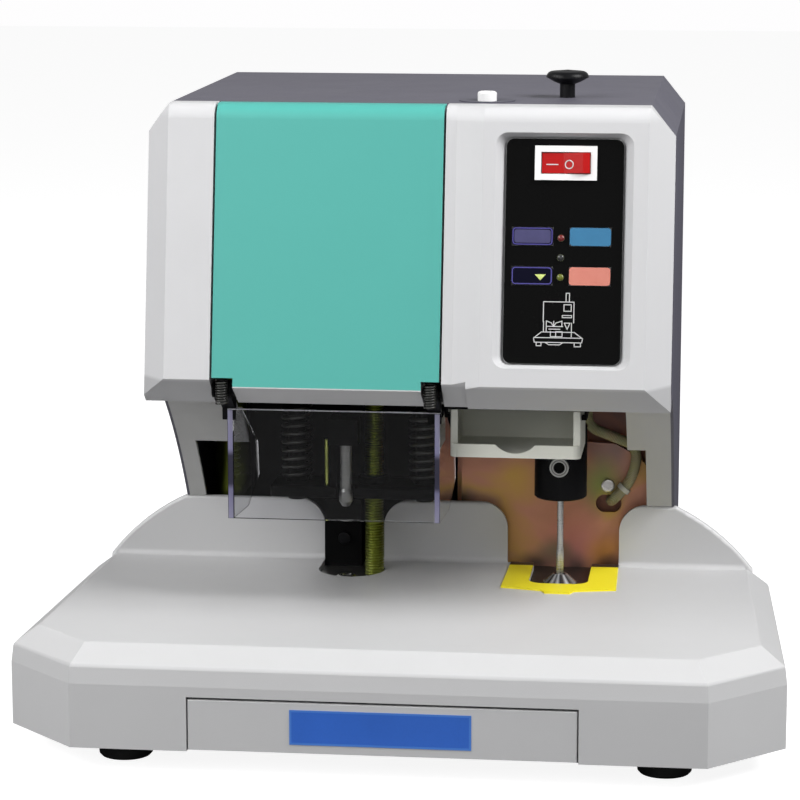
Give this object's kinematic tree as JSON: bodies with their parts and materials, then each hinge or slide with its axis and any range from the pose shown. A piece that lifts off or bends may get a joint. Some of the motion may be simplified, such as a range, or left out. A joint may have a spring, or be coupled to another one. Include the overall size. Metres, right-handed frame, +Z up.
{
  "type": "desk voucher drill and rivet binder",
  "caption": "Desk machine that drills a hole through a stack of paper and hot-presses a nylon tube rivet in it, with a hinged guard, a scrap drawer and a control panel.",
  "frame": {"origin": "middle of the bounding box's bottom face, on the plane of the feet", "axes": "+Z up, the operator's side faces -Y, +X to the operator's right"},
  "size_m": [0.4, 0.32, 0.3457],
  "materials": {
    "grey_moulding": "fine texture",
    "grey_paint": "fine textured powder coat",
    "teal_moulding": "satin",
    "yellow_sheet": "satin",
    "clear_acrylic": "polished",
    "black_plastic": "matt",
    "white_plastic": "satin",
    "panel_film": "satin film",
    "switch_red": "polished",
    "key_blue": "satin film",
    "key_salmon": "satin film",
    "key_dark": "satin film",
    "lamp_lens": "clear lens",
    "bright_steel": "ground",
    "chromate_steel": "yellow chromate",
    "dark_steel": "blackened",
    "chrome": "polished",
    "rubber": "matt",
    "black_paint": "satin black",
    "cast_aluminium": "sand cast",
    "wire_sleeve": "woven sleeve"
  },
  "bodies": {
    "housing": {"base_cover": "grey_moulding", "base_plate": "grey_paint", "foot_front_left": "rubber", "foot_front_right": "rubber", "foot_rear_left": "rubber", "foot_rear_right": "rubber", "table_insert": "yellow_sheet", "drill_bed": "bright_steel", "bit_ring": "chrome", "anvil_plate": "bright_steel", "lower_die": "bright_steel", "throat_skin": "grey_moulding", "head_housing": "grey_paint", "rear_cover": "grey_paint", "power_inlet": "black_plastic", "front_cover": "grey_moulding", "control_panel": "panel_film", "switch_bezel": "white_plastic", "status_lamps": "lamp_lens", "guard_pivot_left": "dark_steel", "guard_pivot_right": "dark_steel", "press_frame": "black_paint", "press_screw": "chromate_steel", "drill_back_plate": "chromate_steel", "drill_mast": "chromate_steel", "guide_rod_left": "bright_steel", "guide_rod_right": "bright_steel", "feed_motor": "dark_steel", "tube_inlet": "black_plastic", "tube_bush": "white_plastic", "tube_guide": "bright_steel", "tray_rails": "black_paint", "wiring_harness": "wire_sleeve"},
    "scrap_drawer": {"scrap_drawer": "grey_moulding"},
    "tube_tray": {"tube_tray": "white_plastic"},
    "guard": {"guard_screen": "clear_acrylic", "guard_arm_left": "dark_steel", "guard_arm_right": "dark_steel"},
    "door": {"door_frame": "grey_moulding", "door_panel": "teal_moulding"},
    "power_rocker": {"power_rocker": "switch_red"},
    "key_punch": {"key_punch": "key_dark"},
    "key_press": {"key_press": "key_blue"},
    "key_down": {"key_down": "key_dark"},
    "key_reset": {"key_reset": "key_salmon"},
    "drill_slide": {"drill_carriage": "cast_aluminium", "drill_motor": "dark_steel", "drill_belt": "rubber", "feed_knob": "black_plastic"},
    "drill_spindle": {"drill_chuck": "dark_steel", "chuck_screw": "bright_steel", "drill_bit": "bright_steel"},
    "feed_pinion": {"feed_pinion": "bright_steel"},
    "press": {"press_plate": "black_paint", "press_column_left": "dark_steel", "press_column_right": "dark_steel", "heater_block": "black_paint", "rivet_die": "bright_steel", "press_spring_left": "dark_steel", "press_spring_right": "dark_steel"}
  },
  "joints": [
    {"name": "drawer_slide", "type": "slide", "parent": "housing", "child": "scrap_drawer", "axis": [0, -1, 0], "range_m": [0, 0.12]},
    {"name": "tray_slide", "type": "slide", "parent": "housing", "child": "tube_tray", "axis": [0, -1, 0], "range_m": [0, 0.04]},
    {"name": "guard_hinge", "type": "hinge", "parent": "housing", "child": "guard", "pos_m": [0, -0.074, 0.183], "axis": [-1, 0, 0], "range_deg": [0, 95]},
    {"name": "door_hinge", "type": "hinge", "parent": "housing", "child": "door", "pos_m": [0, -0.0495, 0.3275], "axis": [-1, 0, 0], "range_deg": [0, 100]},
    {"name": "rocker_hinge", "type": "hinge", "parent": "housing", "child": "power_rocker", "pos_m": [0.0824, -0.06586, 0.3028], "axis": [0, 0.1752, 0.9845], "range_deg": [0, 10]},
    {"name": "key_punch_travel", "type": "slide", "parent": "housing", "child": "key_punch", "axis": [0, 0.9845, -0.1752], "range_m": [0, 0.0005], "stiffness_N_per_m": 400},
    {"name": "key_press_travel", "type": "slide", "parent": "housing", "child": "key_press", "axis": [0, 0.9845, -0.1752], "range_m": [0, 0.0005], "stiffness_N_per_m": 400},
    {"name": "key_down_travel", "type": "slide", "parent": "housing", "child": "key_down", "axis": [0, 0.9845, -0.1752], "range_m": [0, 0.0005], "stiffness_N_per_m": 400},
    {"name": "key_reset_travel", "type": "slide", "parent": "housing", "child": "key_reset", "axis": [0, 0.9845, -0.1752], "range_m": [0, 0.0005], "stiffness_N_per_m": 400},
    {"name": "drill_feed", "type": "slide", "parent": "housing", "child": "drill_slide", "axis": [0, 0, 1], "range_m": [0, 0.05]},
    {"name": "spindle_spin", "type": "hinge", "parent": "drill_slide", "child": "drill_spindle", "pos_m": [0.076, 0.02, 0.15], "axis": [0, 0, 1], "continuous": true},
    {"name": "pinion_spin", "type": "hinge", "parent": "housing", "child": "feed_pinion", "pos_m": [0.03, 0.054, 0.22], "axis": [0, -1, 0], "range_deg": [0, 360]},
    {"name": "press_slide", "type": "slide", "parent": "housing", "child": "press", "axis": [0, 0, 1], "range_m": [-0.036, 0.013], "deforming": ["press_spring_left", "press_spring_right"]}
  ],
  "couplings": [
    {"joint": "pinion_spin", "follows": "drill_feed", "rad_per_m": 125}
  ]
}
